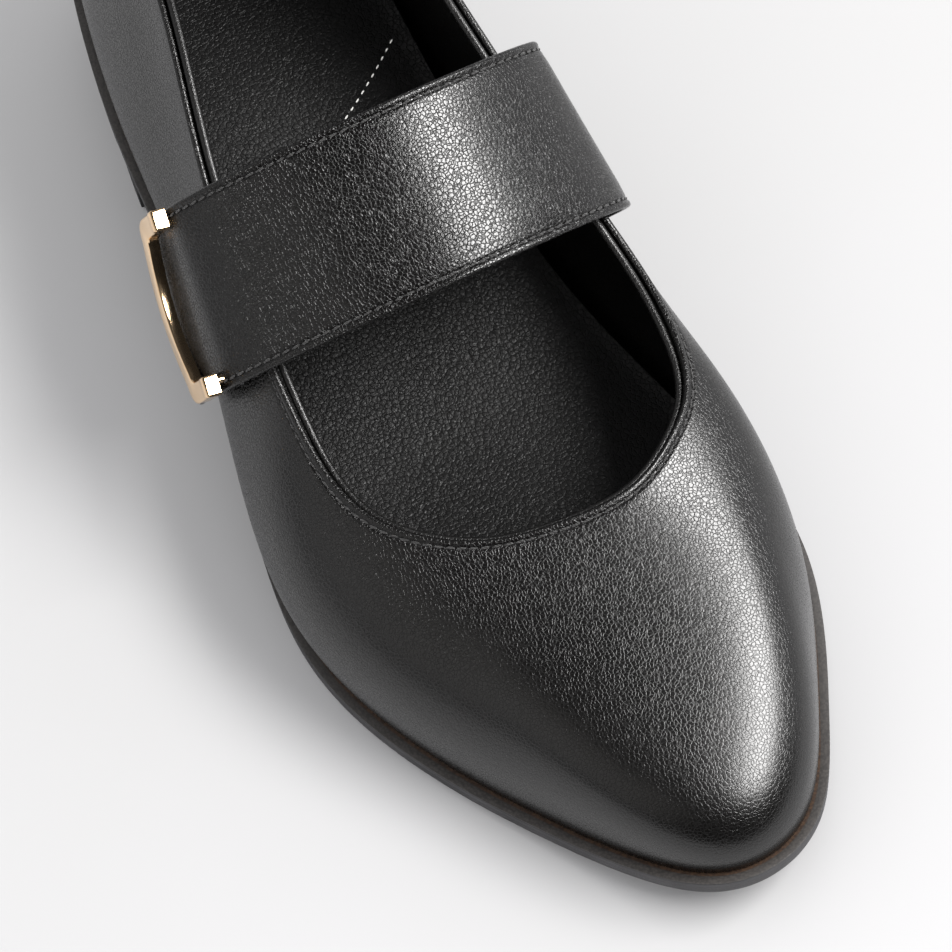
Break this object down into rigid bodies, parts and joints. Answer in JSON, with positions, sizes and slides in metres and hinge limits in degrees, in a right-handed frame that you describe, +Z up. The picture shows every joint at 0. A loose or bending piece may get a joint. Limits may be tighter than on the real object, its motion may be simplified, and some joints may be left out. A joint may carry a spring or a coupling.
{
  "type": "mary jane shoe",
  "caption": "Woman's right Mary Jane shoe in black leather with a wide instep strap, a C-shaped gold side trim, a thin sole and a low block heel; the strap opens on the outer side.",
  "frame": {"origin": "middle of the shoe's bounding box at the ground", "axes": "+Z up, toe towards -Y, heel towards +Y, outer (lateral) side towards -X"},
  "size_m": [0.0934, 0.2528, 0.0882],
  "materials": {
    "upper_leather": "soft pebbled black leather with a satin sheen",
    "lining_leather": "smooth black lining leather",
    "sock_leather": "fine-grained matte black leather",
    "stiffener": "resin-stiffened felt",
    "insole_board": "pressed fibre board",
    "cork_filler": "bonded cork",
    "footbed_foam": "open-cell cushioning foam",
    "outsole_rubber": "matte charcoal rubber with fine lines along its edge",
    "rand": "thin dark brown edge",
    "heel_stack": "charcoal stacked-look heel",
    "top_lift_rubber": "matte black rubber",
    "steel": "plain steel",
    "trim_gold": "polished pale rose gold plating",
    "touch_fastener": "black hook and loop tape"
  },
  "bodies": {
    "shoe": {"vamp": "upper_leather", "quarter_lateral": "upper_leather", "quarter_medial": "upper_leather", "strap_root": "upper_leather", "vamp_lining": "lining_leather", "quarter_lining": "lining_leather", "strap_root_lining": "lining_leather", "topline_binding": "lining_leather", "toe_puff": "stiffener", "heel_counter": "stiffener", "outsole": "outsole_rubber", "sole_rand": "rand", "heel_block": "heel_stack", "heel_top_lift": "top_lift_rubber", "insole_board": "insole_board", "bottom_filler": "cork_filler", "footbed_foam": "footbed_foam", "sock_lining": "sock_leather", "shank": "steel", "shank_rivet_back": "steel", "shank_rivet_front": "steel", "heel_nail_1": "steel", "heel_nail_2": "steel", "heel_nail_3": "steel", "heel_nail_4": "steel", "loop_patch": "touch_fastener"},
    "strap": {"strap_outer": "upper_leather", "strap_reinforcement": "stiffener", "strap_lining": "lining_leather", "hook_patch": "touch_fastener", "side_bar_trim": "trim_gold", "trim_washer_back": "steel", "trim_washer_front": "steel"}
  },
  "joints": [
    {"name": "strap_open", "type": "hinge", "parent": "shoe", "child": "strap", "pos_m": [0.0409, 0.01, 0.0479], "axis": [-0.1391, 0.8576, 0.4951], "range_deg": [0, 130]}
  ]
}
